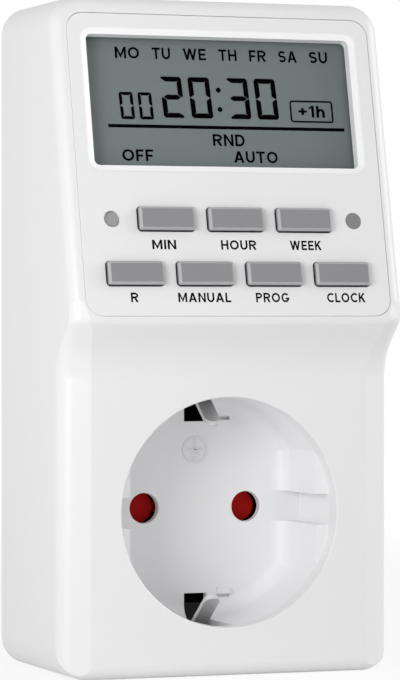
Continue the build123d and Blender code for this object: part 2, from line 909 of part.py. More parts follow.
def live_outlet_lead():
    """Strip and wire from the right contact sleeve up to the power board."""
    return link_strip(1, wire_depth) + riser(1, 0)


def live_inlet_lead():
    """Wire from the head of the right pin up to the power board."""
    level = sleeve_inner_radius + wire_gap + wire_radius
    path = FilletPolyline(
        (pin_offset, pin_back, level),
        (pin_offset, wire_depth, level),
        (pin_offset, wire_depth, wire_top),
        radius=wire_bend,
    )
    return sweep(Plane(origin=path @ 0, z_dir=path % 0) * Circle(wire_radius), path=path)


def strap(points, width, end_round):
    """Bent strip of even thickness across X, with rounded ends."""
    path = FilletPolyline(*points, radius=strap_bend)
    body = extrude(Plane.YZ * trace(path, strap_thickness), amount=width / 2, both=True)
    tips = []
    for edge in body.edges():
        middle = edge.center()
        near = min(math.dist((middle.Y, middle.Z), end) for end in (points[0], points[-1]))
        if near < tolerance:
            tips.append(edge)
    return fillet(tips, end_round)


def earth_bracket():
    """One steel strip behind the contact base, with a spring clip bent into the recess at each end."""
    back = base_back + strap_thickness / 2
    half = [
        (front_face + clip_tip_depth, clip_tip_offset),
        (front_face + clip_bend_depth, clip_arm_offset),
        (back, clip_arm_offset),
    ]
    points = half + [(depth, -level) for depth, level in reversed(half)]
    return strap(points, clip_width, (clip_width - tip_flat) / 2)


def plug_earth_strap():
    """Strip that lies in the plug's body, with one contact face above and one below."""
    level = plug_radius - strap_thickness / 2
    half = [(plug_face - plug_strap_end, level), (strap_root, level)]
    points = half + [(depth, -height) for depth, height in reversed(half)]
    return strap(points, plug_strap_width, plug_strap_round)


def earth_link():
    """Block that joins the plug's earth strap to the earth bracket."""
    near = base_back + strap_thickness
    far = strap_root - strap_thickness / 2
    return block((-clip_width / 2, near, -clip_width), (clip_width / 2, far, clip_width))


def earth_sleeve():
    """Tube behind the plug's face for the wall socket's earth pin."""
    near = strap_root + strap_thickness / 2
    place = (0, earth_hole_offset)
    return tube(place, earth_hole_radius + earth_sleeve_wall, earth_hole_radius, near, plug_hollow_end)


def plug_outline(shrink):
    """Round plug section with a flat on each side."""
    return Circle(plug_radius - shrink) & Rectangle(2 * (plug_flat - shrink), 2 * plug_radius)


def strap_spaces():
    """Grooves and slots of the plug's body that the earth strap lies in."""
    half = plug_strap_width / 2 + plug_strap_clearance
    near = strap_root - strap_thickness / 2 - plug_strap_clearance
    floor = plug_radius - strap_thickness - plug_strap_clearance
    spaces = []
    for side in (-1, 1):
        low, high = span(side, floor, plug_radius + overshoot)
        end = plug_face - plug_strap_end + plug_strap_clearance
        spaces.append(block((-half, near, low), (half, end, high)))
        low, high = span(side, floor - plug_wall, plug_radius + overshoot)
        spaces.append(block((-half, near, low), (half, strap_root + strap_bend + plug_strap_clearance, high)))
    return spaces


def rear_cover():
    """Back plate with the hollow plug body and the posts for the power board."""
    plate = slab(front_outline(wall + cover_gap), cover_inner, back_plane)
    body = slab(plug_outline(0), back_plane, plug_face)
    rim = [edge for edge in body.edges() if abs(edge.center().Y - plug_face) < tolerance]
    cover = plate + fillet(rim, plug_edge_round)
    cover = cover - slab(plug_outline(plug_wall), cover_inner - overshoot, plug_hollow_end)
    for side in (-1, 1):
        place = (side * pin_offset, 0)
        seat = pin_seat_radius + pin_fit
        cover = cover - disc(place, seat, plug_hollow_end - overshoot, plug_face + overshoot)
    earth_place = (0, earth_hole_offset)
    cover = cover - disc(earth_place, earth_hole_radius, plug_hollow_end - overshoot, plug_face + overshoot)
    for space in strap_spaces():
        cover = cover - space
    for place in post_places:
        hole = housing_screw_radius + screw_clearance
        cover = cover - disc(place, hole, cover_inner - overshoot, back_plane)
        sink = back_plane - housing_head_height
        cover = cover - disc(place, housing_head_radius + screw_clearance, sink, back_plane + overshoot)
    for place in power_post_places:
        cover = cover + tube(place, power_post_radius, pilot_radius, power_board_back, cover_inner)
    return cover


def housing_screws():
    """Screws through the rear cover into the housing's posts."""
    seat = back_plane - housing_head_height
    length = seat - cover_inner + housing_screw_length
    shape = screw(housing_screw_radius, housing_head_radius, housing_head_height, length)
    return Compound(children=[plane * shape for plane in facing_back(post_places, seat)])


def plug_pin(side):
    """Round pin with a wider seat in the plug's face and a head behind it."""
    place = (side * pin_offset, 0)
    shank = disc(place, pin_radius, plug_face, plug_face + pin_length)
    rims = shank.edges().filter_by(GeomType.CIRCLE)
    tip = [edge for edge in rims if edge.center().Y > plug_face + tolerance]
    pin = fillet(tip, pin_tip_round) + disc(place, pin_seat_radius, plug_hollow_end, plug_face)
    return pin + disc(place, pin_head_radius, pin_back, plug_hollow_end)


def power_board():
    height = power_board_top - power_board_row
    outline = Pos(0, power_board_row + height / 2) * Rectangle(2 * power_half_width, height)
    board = slab(outline, power_board_front, power_board_back)
    for place in power_post_places:
        board = board - disc(place, pilot_radius, power_board_front - overshoot, power_board_back + overshoot)
    return board


def power_screws():
    """Screws that hold the power board to the rear cover's posts."""
    planes = [
        Plane(origin=(x, power_board_front, z), x_dir=(-1, 0, 0), z_dir=(0, -1, 0))
        for x, z in power_post_places
    ]
    return small_screws(planes, cover_inner - power_board_front - wire_gap)


def board_box(middle, size):
    """Box on the front of the power board: size is width, depth and height."""
    low = (middle[0] - size[0] / 2, power_board_front - size[1], middle[1] - size[2] / 2)
    high = (middle[0] + size[0] / 2, power_board_front, middle[1] + size[2] / 2)
    box = block(low, high)
    return fillet(box.edges().filter_by(Axis.Y), case_round)


def relay():
    return board_box((relay_offset, power_board_row + relay_level), relay_size)


def film_capacitor():
    return board_box((film_offset, power_board_top - film_drop), film_size)


def electrolytic_capacitor():
    place = (electrolytic_offset, power_board_row + electrolytic_level)
    front = power_board_front - electrolytic_height
    can = disc(place, electrolytic_radius, front, power_board_front)
    rim = [edge for edge in can.edges() if abs(edge.center().Y - front) < tolerance]
    return fillet(rim, case_round)


def board_resistors():
    """Resistors lying on the power board above the relay."""
    first = power_board_row + relay_level + relay_size[2] / 2 + resistor_gap
    body = Rot(0, 90, 0) * Cylinder(resistor_radius, resistor_length)
    depth = power_board_front - resistor_radius
    levels = [first + resistor_pitch * count for count in range(resistor_count)]
    return Compound(children=[Pos(relay_offset, depth, level) * body for level in levels])


def ribbon_cable():
    """Flat cable from the control board's back to the power board's front."""
    way = Vector(cos_tilt, -sin_tilt)
    start = panel_base + Vector(sin_tilt, cos_tilt) * ribbon_row + way * board_back
    first = start + way * ribbon_lead
    end = Vector(power_board_front, power_board_row + ribbon_landing)
    last = end - Vector(ribbon_lead, 0)
    points = [(point.X, point.Y) for point in (start, first, last, end)]
    path = FilletPolyline(*points, radius=ribbon_bend)
    ribbon = extrude(Plane.YZ * trace(path, ribbon_thickness), amount=ribbon_width / 2, both=True)
    return Pos(ribbon_offset, 0, 0) * ribbon


def save(name, shape):
    export_step(shape, "parts/" + name + ".step")


def main():
    os.makedirs("parts", exist_ok=True)
    makers = [
        front_housing, rear_cover, housing_screws, control_panel, display_window, display_glass,
        glass_holder, contact_strips, reset_button, indicator_lens, indicator_lamp, key_mat,
        control_board, control_screws, control_chip, timing_crystal, backup_cell, socket_insert,
        insert_screws, shutter, shutter_spring, contact_base, base_screws, earth_bracket,
        neutral_link, neutral_lead, live_outlet_lead, live_inlet_lead, plug_earth_strap,
        earth_sleeve, earth_link, power_board, power_screws, relay, film_capacitor,
        electrolytic_capacitor, board_resistors, ribbon_cable,
    ]
    for maker in makers:
        save(maker.__name__, maker())
    for name, place in key_places():
        save(name, key(place))
    for side, word in ((-1, "neutral"), (1, "live")):
        save(word + "_contact_sleeve", contact_sleeve(side))
        save(word + "_plug_pin", plug_pin(side))


main()
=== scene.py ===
import math

import bmesh
import bpy
from mathutils import Matrix, Vector


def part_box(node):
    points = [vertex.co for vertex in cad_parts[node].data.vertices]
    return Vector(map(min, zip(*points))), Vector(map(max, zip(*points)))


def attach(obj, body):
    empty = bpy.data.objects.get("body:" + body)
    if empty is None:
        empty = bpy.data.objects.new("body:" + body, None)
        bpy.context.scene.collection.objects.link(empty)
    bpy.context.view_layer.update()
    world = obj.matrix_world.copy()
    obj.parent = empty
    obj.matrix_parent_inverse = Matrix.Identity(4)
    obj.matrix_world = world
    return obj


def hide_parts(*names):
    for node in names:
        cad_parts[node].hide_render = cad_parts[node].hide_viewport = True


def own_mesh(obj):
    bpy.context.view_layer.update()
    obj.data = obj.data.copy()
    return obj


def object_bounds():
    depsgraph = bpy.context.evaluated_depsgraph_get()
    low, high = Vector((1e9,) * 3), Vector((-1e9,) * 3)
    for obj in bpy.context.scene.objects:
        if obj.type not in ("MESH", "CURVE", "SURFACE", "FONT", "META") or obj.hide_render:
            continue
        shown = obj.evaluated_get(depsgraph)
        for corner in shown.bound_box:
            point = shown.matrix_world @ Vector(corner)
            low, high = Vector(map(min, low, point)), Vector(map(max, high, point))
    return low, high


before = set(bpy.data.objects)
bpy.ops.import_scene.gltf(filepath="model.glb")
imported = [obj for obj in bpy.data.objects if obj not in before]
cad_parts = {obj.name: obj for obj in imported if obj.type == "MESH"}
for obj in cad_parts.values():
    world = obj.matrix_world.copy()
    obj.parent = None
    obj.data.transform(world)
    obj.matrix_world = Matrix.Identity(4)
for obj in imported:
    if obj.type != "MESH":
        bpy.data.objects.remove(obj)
cad_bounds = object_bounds()

# Lengths below are in millimetres unless a name says otherwise; Blender gets metres.
MM = 0.001

# Camera: its place in the object's frame and its turn to the right in degrees; its focal length, the
# picture's height and the horizon's row in pixels; its sensor and where its view begins
CAMERA_PLACE = (-216.9, -619.0, 34.7)
VIEW_TURN = 20.44
FOCAL_PIXELS = 3553.0
IMAGE_HEIGHT = 680
HORIZON_ROW = 309.4
SENSOR = 36.0
CLIP_START = 50.0

# Control panel: its tilt, the middle of its lower edge and the depth of the display's glass
PANEL_TILT = 12.7
PANEL_BASE = (0.0, -57.3955, 33.5131)
GLASS_DEPTH = 3.2

# Print: where it begins and ends over the panel's face, and its thickness on the display
LABEL_LAYER = (0.001, 0.012)
FIGURE_THICKNESS = 0.03

# Points round a circle, round a dot, in a corner, in a small corner and along a letter's curve
CIRCLE_STEPS = 48
DOT_STEPS = 24
CORNER_STEPS = 8
SMALL_CORNER_STEPS = 3
CURVE_STEPS = 14

# Share of the full tone at heights over the panel's face, which paints light and shade: the keys' dark foot
# as a painted shadow in the gap, their side, their bevel as a painted highlight and their face, and the
# display's chamfer under the face as a painted highlight
KEY_PAINTED_LIGHT = ((0.1, 0.12), (0.3, 0.4), (0.68, 0.6), (0.8, 1.0), (1.12, 1.0), (1.18, 0.6))
PANEL_PAINTED_HIGHLIGHT = ((-0.68, 0.856), (-0.58, 1.0), (-0.2, 1.0), (-0.05, 0.856))

# Letters: widths, the gap between them and the stroke's width, as shares of their height
LETTER_WIDTHS = {
    "A": 0.9, "C": 0.83, "D": 0.8, "E": 0.66, "F": 0.62, "G": 0.92, "H": 0.78, "I": 0.18, "K": 0.8, "L": 0.6,
    "M": 0.96, "N": 0.8, "O": 0.96, "P": 0.72, "R": 0.78, "S": 0.72, "T": 0.76, "U": 0.78, "W": 1.26,
    "+": 0.6, "1": 0.36, "h": 0.6,
}
LETTER_GAP = 0.16
LABEL_PEN = 0.195
DISPLAY_PEN = 0.185

# Words under the keys: their height and rows, and for each a name, its text, its middle across the
# panel and its width
LABEL_HEIGHT = 1.65
UPPER_LABEL_ROW = 12.45
LOWER_LABEL_ROW = 3.28
UPPER_LABELS = (("minute", "MIN", -13.03, 4.3), ("hour", "HOUR", 0.45, 6.4), ("week", "WEEK", 12.76, 5.8))
LOWER_LABELS = (
    ("recall", "R", -19.02, 1.3), ("manual", "MANUAL", -6.48, 9.5), ("program", "PROG", 5.88, 6.1),
    ("clock", "CLOCK", 19.44, 7.1),
)

# Film on the display's glass: half its width, its rows and how far it stands off the glass
FILM_HALF_WIDTH = 24.9
FILM_ROWS = (25.6, 50.2)
FILM_CORNER = 0.8
FILM_LAYER = (0.02, 0.08)

# Display figures: places across the panel and rows up its slope. The ends of a figure's bars are cut
# back by a share of their width.
DIGIT_LEAN = 0.047
SEGMENT_GAP = 0.11
SEGMENT_CUT = 0.3
HOUR_DIGITS = ((-10.45, "2"), (-5.32, "0"), (1.72, "3"), (6.87, "0"))
HOUR_ROW = 35.6
HOUR_SIZE = (3.93, 7.33)
HOUR_STROKE = 0.88
SECOND_DIGITS = ((-18.08, "0"), (-14.66, "0"))
SECOND_ROW = 35.2
SECOND_SIZE = (2.5, 4.82)
SECOND_STROKE = 0.55
COLON_PLACES = ((0.24, 40.7), (0.27, 37.25))
COLON_RADIUS = 0.45

# Names of the days with their widths, the line and the box
DAYS = (("MO", 4.4), ("TU", 3.3), ("WE", 4.2), ("TH", 3.3), ("FR", 3.1), ("SA", 3.4), ("SU", 3.4))
DAY_START = -18.19
DAY_END = 21.11
DAY_MIDDLE = 47.04
DAY_HEIGHT = 2.05
LINE_ENDS = (-20.34, 23.2)
LINE_MIDDLE = 34.0
LINE_WIDTH = 0.58
BOX_MIDDLE = (17.3, 37.18)
BOX_SIZE = (8.05, 3.96)
BOX_CORNER = 0.55
BOX_LINE = 0.3

# Words on the display: name, text, middle, height and width
WORDS = (
    ("hour_shift_word", "+1h", (17.3, 37.2), 2.1, 4.9), ("random_word", "RND", (1.43, 31.78), 2.1, 5.85),
    ("auto_word", "AUTO", (6.18, 28.83), 2.05, 8.1), ("off_word", "OFF", (-15.4, 28.86), 2.05, 5.6),
)

# Bars that are lit in each figure
SEGMENTS_LIT = {"0": "abcdef", "2": "abged", "3": "abgcd"}

# Earth sign moulded on the socket's floor: each bar has its level from the sign's middle and its width
SOCKET_FLOOR = -34.6
SIGN_HEIGHT = 10.0
SIGN_RADIUS = 2.4
SIGN_LINE = 0.42
SIGN_CORNER = SIGN_LINE / 3
SIGN_RISE = 0.2
SIGN_BARS = ((0.0, 2.9), (-0.75, 1.9), (-1.5, 0.9))

# Shutter spring: its wire and coil, and the points round each turn and round the wire
SPRING_WIRE = 0.3
SPRING_RADIUS = 0.7
SPRING_TURNS = 4
SPRING_LENGTH = 7.0
SPRING_STEPS = 16
WIRE_SIDES = 8

# Surfaces: detail and strength of the fine grain, scale per metre and detail of the broad change of
# tone, its share on white plastic, and how far the roughness varies and its lower limit
GRAIN_DETAIL = 3.0
GRAIN_STRENGTH = 0.5
MOTTLE_SCALE = 60.0
MOTTLE_DETAIL = 2.0
WHITE_MOTTLE = 0.004
GLOSS_SPREAD = 0.06
LEAST_ROUGHNESS = 0.02

# Stage, in metres: the floor's size, its colour and roughness, the share of plain white under the
# object, and the distances from there at which this share starts to grow and is full
FLOOR_SIZE = 6.0
FLOOR_COLOUR = (0.93, 0.93, 0.93, 1.0)
FLOOR_ROUGHNESS = 0.9
FLOOR_WHITE = 0.85
FLOOR_FADE = (0.16, 0.42)
WHITE = (1.0, 1.0, 1.0, 1.0)

# Light: the world's level, then each lamp's name, place and size in metres and power in watts
WORLD_LIGHT = 0.5
LAMPS = (
    ("key_lamp", (-0.26, -0.26, 0.08), 0.14, 0.42),
    ("left_lamp", (-0.5, -0.36, 0.1), 0.25, 0.25),
    ("right_lamp", (0.9, -0.25, 0.35), 0.5, 3.8),
)


def panel_matrix():
    """From the panel's own frame, X across, Y up the slope and Z out, to the object's frame."""
    tilt = math.radians(PANEL_TILT)
    up = Vector((0.0, math.sin(tilt), math.cos(tilt)))
    out = Vector((0.0, -math.cos(tilt), math.sin(tilt)))
    turn = Matrix((Vector((1.0, 0.0, 0.0)), up, out)).transposed().to_4x4()
    return Matrix.Translation(Vector(PANEL_BASE) * MM) @ turn @ Matrix.Scale(MM, 4)


def floor_matrix():
    """From a frame with X across, Y up and Z out of the socket's floor to the object's frame."""
    turn = Matrix(((1.0, 0.0, 0.0), (0.0, 0.0, -1.0), (0.0, 1.0, 0.0))).to_4x4()
    return Matrix.Translation(Vector((0.0, SOCKET_FLOOR, 0.0)) * MM) @ turn @ Matrix.Scale(MM, 4)


def make_piece(name, mesh_maker, matrix, material):
    """A piece whose mesh is drawn by mesh_maker and set in the object's frame."""
    draft = bmesh.new()
    mesh_maker(draft)
    draft.transform(matrix)
    bmesh.ops.recalc_face_normals(draft, faces=draft.faces)
    mesh = bpy.data.meshes.new(name)
    draft.to_mesh(mesh)
    draft.free()
    mesh.materials.append(material)
    piece = bpy.data.objects.new(name, mesh)
    bpy.context.scene.collection.objects.link(piece)
    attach(piece, "casing")
    return piece


def add_prism(draft, points, low, high):
    """A flat form of even thickness over an outline."""
    bottom = [draft.verts.new((x, y, low)) for x, y in points]
    top = [draft.verts.new((x, y, high)) for x, y in points]
    draft.faces.new(bottom)
    draft.faces.new(top)
    for index, vertex in enumerate(bottom):
        following = (index + 1) % len(points)
        draft.faces.new((vertex, bottom[following], top[following], top[index]))


def add_frame(draft, outer, inner, low, high):
    """A flat form of even thickness between two outlines with the same number of points."""
    rings = [
        [draft.verts.new((x, y, level)) for x, y in line]
        for line in (outer, inner) for level in (low, high)
    ]
    outer_low, outer_high, inner_low, inner_high = rings
    count = len(outer)
    for index in range(count):
        following = (index + 1) % count
        for first, second in (
            (outer_low, outer_high), (outer_high, inner_high),
            (inner_high, inner_low), (inner_low, outer_low),
        ):
            draft.faces.new((first[index], first[following], second[following], second[index]))


def round_outline(centre, radius, steps=CIRCLE_STEPS):
    """Points of a circle."""
    turns = [2 * math.pi * step / steps for step in range(steps)]
    return [(centre[0] + radius * math.cos(turn), centre[1] + radius * math.sin(turn)) for turn in turns]


def rounded_box(centre, size, corner, steps=CORNER_STEPS):
    """Points of a rectangle with round corners."""
    points = []
    for quarter, (side, level) in enumerate(((1, 1), (-1, 1), (-1, -1), (1, -1))):
        middle = (centre[0] + side * (size[0] / 2 - corner), centre[1] + level * (size[1] / 2 - corner))
        for step in range(steps + 1):
            turn = math.pi / 2 * (quarter + step / steps)
            points.append((middle[0] + corner * math.cos(turn), middle[1] + corner * math.sin(turn)))
    return points


def arc(centre, radii, start, end):
    """Points of an ellipse between two angles."""
    shares = [step / CURVE_STEPS for step in range(CURVE_STEPS + 1)]
    turns = [math.radians(start + (end - start) * share) for share in shares]
    return [(centre[0] + radii[0] * math.cos(turn), centre[1] + radii[1] * math.sin(turn)) for turn in turns]


def bend(centre, radii, start, end, pen):
    """Outer and inner side of a curved stroke between two angles."""
    inner = (radii[0] - pen, radii[1] - pen)
    return arc(centre, radii, start, end), arc(centre, inner, start, end)


def stroke(first, second):
    """Closed outline of a stroke from its two sides."""
    return first + second[::-1]


def bar(left, bottom, right, top):
    """Corners of an upright rectangle."""
    return [(left, bottom), (right, bottom), (right, top), (left, top)]


def mirrored(points, width):
    """Points turned left to right in a cell of a width."""
    return [(width - x, y) for x, y in points]


def bowl(width, bottom, start, pen):
    """Curved stroke that leaves a stem at its top and comes back to it at bottom."""
    tall = (1 - bottom) / 2
    outer, inner = bend((start, 1 - tall), (width - start, tall), 90, -90, pen)
    return stroke([(pen, 1)] + outer + [(pen, bottom)], [(pen, 1 - pen)] + inner + [(pen, bottom + pen)])


def peaked_letter(width, pen):
    """The letter A."""
    half = width / 2
    foot = 1.12 * pen
    cap = 0.6 * pen
    level = 0.22
    top = level + 0.9 * pen
    crotch = (half - foot) / (half - cap)
    leg = [(0, 0), (foot, 0), (half, crotch), (half, 1), (half - cap, 1)]
    low_end = foot + (half - cap) * level
    high_end = foot + (half - cap) * top
    tie = [(low_end, level), (width - low_end, level), (width - high_end, top), (high_end, top)]
    return [leg, mirrored(leg, width), tie]


def double_valley_letter(width, pen):
    """The letter W."""
    half = width / 2
    foot = 1.05 * pen
    cap = 0.5 * pen
    foot_place = (half + foot / 2) / 2
    lean = foot_place - cap
    crotch = 1 - (foot_place - foot) / lean
    notch = (half - foot_place - cap) / lean
    outer = [(0, 1), (foot_place - cap, 0), (foot_place, 0), (foot_place, crotch), (foot, 1)]
    inner = [
        (foot_place, 0), (foot_place + cap, 0), (half, notch),
        (half, 1), (half - foot / 2, 1), (foot_place, crotch),
    ]
    return [outer, inner, mirrored(outer, width), mirrored(inner, width)]


def winding_letter(width, pen):
    """The letter S."""
    half = width / 2
    tall = (1 + pen) / 4
    upper_end = 28
    lower_end = -152
    upper_outer, upper_inner = bend((half, 1 - tall), (half, tall), upper_end, 270, pen)
    lower_outer, lower_inner = bend((half, tall), (half, tall), 90, lower_end, pen)
    return [stroke(upper_outer + lower_inner, upper_inner + lower_outer)]


def armed_letter(width, pen):
    """The letter K."""
    joint = (pen, 0.34)
    tip = (width - 0.02, 1)
    tip_width = 1.35 * pen
    joint_height = 1.3 * pen
    leg_width = 1.25 * pen
    leg_start = 0.15
    leg_end = 0.42
    arm = [joint, tip, (tip[0] - tip_width, 1), (pen, joint[1] + joint_height)]

    def along(share):
        return (joint[0] + (tip[0] - joint[0]) * share, joint[1] + (tip[1] - joint[1]) * share)

    leg = [along(leg_start), (width - leg_width, 0), (width, 0), along(leg_end)]
    return [bar(0, 0, pen, 1), arm, leg]


def letter_outlines(letter, pen):
    """Outlines of a letter's strokes in a cell that is one unit high."""
    width = LETTER_WIDTHS[letter]
    half = width / 2
    stem = bar(0, 0, pen, 1)
    far_stem = bar(width - pen, 0, width, 1)
    top_bar = bar(pen, 1 - pen, width, 1)
    foot_bar = bar(pen, 0, width, pen)
    middle = 0.5 - pen / 2
    makers = {"A": peaked_letter, "W": double_valley_letter, "S": winding_letter, "K": armed_letter}
    if letter in makers:
        return makers[letter](width, pen)
    if letter == "O":
        return [stroke(*bend((half, 0.5), (half, 0.5), 90, end, pen)) for end in (-90, 270)]
    if letter == "C":
        opening = 48
        return [stroke(*bend((0.5, 0.5), (0.5, 0.5), opening, 360 - opening, pen))]
    if letter == "G":
        opening = 42
        shelf_start = 0.54 * width
        shelf_width = 0.9 * pen
        shelf = bar(shelf_start, 0.5 - shelf_width, width - pen, 0.5)
        return [stroke(*bend((half, 0.5), (half, 0.5), opening, 360, pen)), shelf]
    if letter == "D":
        bowl_start = 0.36
        return [stem, bowl(width, 0, bowl_start, pen)]
    if letter in "PR":
        waist = 0.4
        bowl_start = 0.38
        leg_start = 0.44 * width
        leg_width = 1.2 * pen
        leg = [(leg_start, waist), (width - leg_width, 0), (width, 0), (leg_start + leg_width, waist)]
        return [stem, bowl(width, waist, bowl_start, pen)] + ([leg] if letter == "R" else [])
    if letter == "U":
        bend_height = 0.42
        outer, inner = bend((half, bend_height), (half, bend_height), 180, 360, pen)
        return [stroke([(0, 1)] + outer + [(width, 1)], [(pen, 1)] + inner + [(width - pen, 1)])]
    if letter == "h":
        arch_middle = (0.33, 0.46)
        arch_height = 0.28
        arch_start = 120
        root_top = 0.6
        root_bottom = 0.42
        outer, inner = bend(arch_middle, (width - arch_middle[0], arch_height), arch_start, 0, pen)
        upper_side = [(pen, root_top)] + outer + [(width, 0)]
        return [stem, stroke(upper_side, [(pen, root_bottom)] + inner + [(width - pen, 0)])]
    if letter == "M":
        slant = 0.36
        valley = [(pen, 1), (pen, 1 - slant), (half, 0), (half, slant)]
        return [stem, valley, mirrored(valley, width), far_stem]
    if letter == "N":
        slant = 0.3
        return [stem, [(pen, 1), (pen, 1 - slant), (width - pen, 0), (width - pen, slant)], far_stem]
    if letter == "E":
        shorter = 0.05
        return [stem, top_bar, bar(pen, middle, width - shorter, middle + pen), foot_bar]
    if letter == "F":
        shorter = 0.06
        level = middle - 0.03
        return [stem, top_bar, bar(pen, level, width - shorter, level + pen)]
    if letter == "1":
        flag_start = 0.68
        flag_end = 0.82
        flag_width = 0.85 * pen
        flag = [(0, flag_start), (width - pen, flag_end), (width - pen, 1), (0, flag_start + flag_width)]
        return [far_stem, flag]
    simple = {
        "H": [stem, bar(pen, middle, width - pen, middle + pen), far_stem],
        "I": [stem],
        "L": [stem, foot_bar],
        "T": [bar(0, 1 - pen, width, 1), bar(half - pen / 2, 0, half + pen / 2, 1 - pen)],
        "+": [
            bar(0, middle, width, middle + pen), bar(half - pen / 2, 0.5 - half, half + pen / 2, middle),
            bar(half - pen / 2, middle + pen, half + pen / 2, 0.5 + half),
        ],
    }
    return simple[letter]


def add_word(draft, text, centre, height, width, pen, low, high):
    """A word fitted into a box about its centre, with an even thickness."""
    across = sum(LETTER_WIDTHS[letter] for letter in text) + LETTER_GAP * (len(text) - 1)
    scale = width / across
    left = centre[0] - width / 2
    bottom = centre[1] - height / 2
    for letter in text:
        for outline in letter_outlines(letter, pen):
            add_prism(draft, [(left + x * scale, bottom + y * height) for x, y in outline], low, high)
        left += (LETTER_WIDTHS[letter] + LETTER_GAP) * scale


def segment_outlines(size, line):
    """The seven bars of a figure, by letter: a at the top, then round, with g in the middle."""
    width, height = size
    gap = SEGMENT_GAP
    half = height / 2
    cut = line * SEGMENT_CUT
    left = line + gap
    right = width - line - gap
    top = [
        (gap + cut, height), (width - gap - cut, height), (width - gap, height - cut),
        (right, height - line), (left, height - line), (gap, height - cut),
    ]
    upper = [
        (0, height - gap - cut), (cut, height - gap), (line, height - line - gap),
        (line, half + line / 2 + gap / 2), (cut, half + gap / 2), (0, half + gap),
    ]
    middle = [
        (cut + gap, half), (left, half + line / 2), (right, half + line / 2),
        (width - cut - gap, half), (right, half - line / 2), (left, half - line / 2),
    ]
    far_upper = mirrored(upper, width)

    def flipped(points):
        return [(x, height - y) for x, y in points]

    return {
        "a": top, "b": far_upper, "c": flipped(far_upper), "d": flipped(top),
        "e": flipped(upper), "f": upper, "g": middle,
    }


def add_digits(draft, digits, row, size, line, low, high):
    """Leaning figures in a row, with an even thickness."""
    outlines = segment_outlines(size, line)
    for left, figure in digits:
        for letter in SEGMENTS_LIT[figure]:
            points = [(left + x + DIGIT_LEAN * (size[1] - y), row + y) for x, y in outlines[letter]]
            add_prism(draft, points, low, high)


def key_labels(material):
    """The printed word under every key."""
    for labels, row in ((UPPER_LABELS, UPPER_LABEL_ROW), (LOWER_LABELS, LOWER_LABEL_ROW)):
        for name, text, middle, width in labels:

            def draw(draft):
                add_word(draft, text, (middle, row), LABEL_HEIGHT, width, LABEL_PEN, *LABEL_LAYER)

            make_piece("label_" + name, draw, panel_matrix(), material)


def display_film(material):
    """Grey film that lies on the display's glass."""

    def draw(draft):
        middle = (0.0, sum(FILM_ROWS) / 2)
        size = (2 * FILM_HALF_WIDTH, FILM_ROWS[1] - FILM_ROWS[0])
        layer = [level - GLASS_DEPTH for level in FILM_LAYER]
        add_prism(draft, rounded_box(middle, size, FILM_CORNER), *layer)

    make_piece("display_film", draw, panel_matrix(), material)


def display_figures(material):
    """Everything that the display shows, just in front of its film."""
    low = -GLASS_DEPTH + FILM_LAYER[1]
    high = low + FIGURE_THICKNESS

    def add_piece(name, draw):
        make_piece(name, draw, panel_matrix(), material)

    def draw_time(draft):
        add_digits(draft, HOUR_DIGITS, HOUR_ROW, HOUR_SIZE, HOUR_STROKE, low, high)
        for place in COLON_PLACES:
            add_prism(draft, round_outline(place, COLON_RADIUS, DOT_STEPS), low, high)

    def draw_seconds(draft):
        add_digits(draft, SECOND_DIGITS, SECOND_ROW, SECOND_SIZE, SECOND_STROKE, low, high)

    def draw_days(draft):
        space = (DAY_END - DAY_START - sum(width for text, width in DAYS)) / (len(DAYS) - 1)
        left = DAY_START
        for text, width in DAYS:
            add_word(draft, text, (left + width / 2, DAY_MIDDLE), DAY_HEIGHT, width, DISPLAY_PEN, low, high)
            left += width + space

    def draw_line(draft):
        left, right = LINE_ENDS
        bottom = LINE_MIDDLE - LINE_WIDTH / 2
        add_prism(draft, bar(left, bottom, right, bottom + LINE_WIDTH), low, high)

    def draw_box(draft):
        inner = [side - 2 * BOX_LINE for side in BOX_SIZE]
        outer_line = rounded_box(BOX_MIDDLE, BOX_SIZE, BOX_CORNER)
        inner_line = rounded_box(BOX_MIDDLE, inner, BOX_CORNER - BOX_LINE)
        add_frame(draft, outer_line, inner_line, low, high)

    add_piece("time_figures", draw_time)
    add_piece("second_figures", draw_seconds)
    add_piece("day_names", draw_days)
    add_piece("display_line", draw_line)
    add_piece("hour_shift_box", draw_box)
    for name, text, centre, height, width in WORDS:
        add_piece(name, lambda draft: add_word(draft, text, centre, height, width, DISPLAY_PEN, low, high))


def earth_sign(material):
    """Ring and bars that stand a little proud of the socket's floor."""

    def draw(draft):
        centre = (0.0, SIGN_HEIGHT)
        inner_radius = SIGN_RADIUS - SIGN_LINE
        outer = round_outline(centre, SIGN_RADIUS)
        add_frame(draft, outer, round_outline(centre, inner_radius), -SIGN_RISE, SIGN_RISE)
        lines = [(level, (width, SIGN_LINE)) for level, width in SIGN_BARS]
        lines.append((inner_radius / 2, (SIGN_LINE, inner_radius)))
        for level, size in lines:
            outline = rounded_box((0.0, SIGN_HEIGHT + level), size, SIGN_CORNER, SMALL_CORNER_STEPS)
            add_prism(draft, outline, -SIGN_RISE, SIGN_RISE)

    make_piece("earth_sign", draw, floor_matrix(), material)


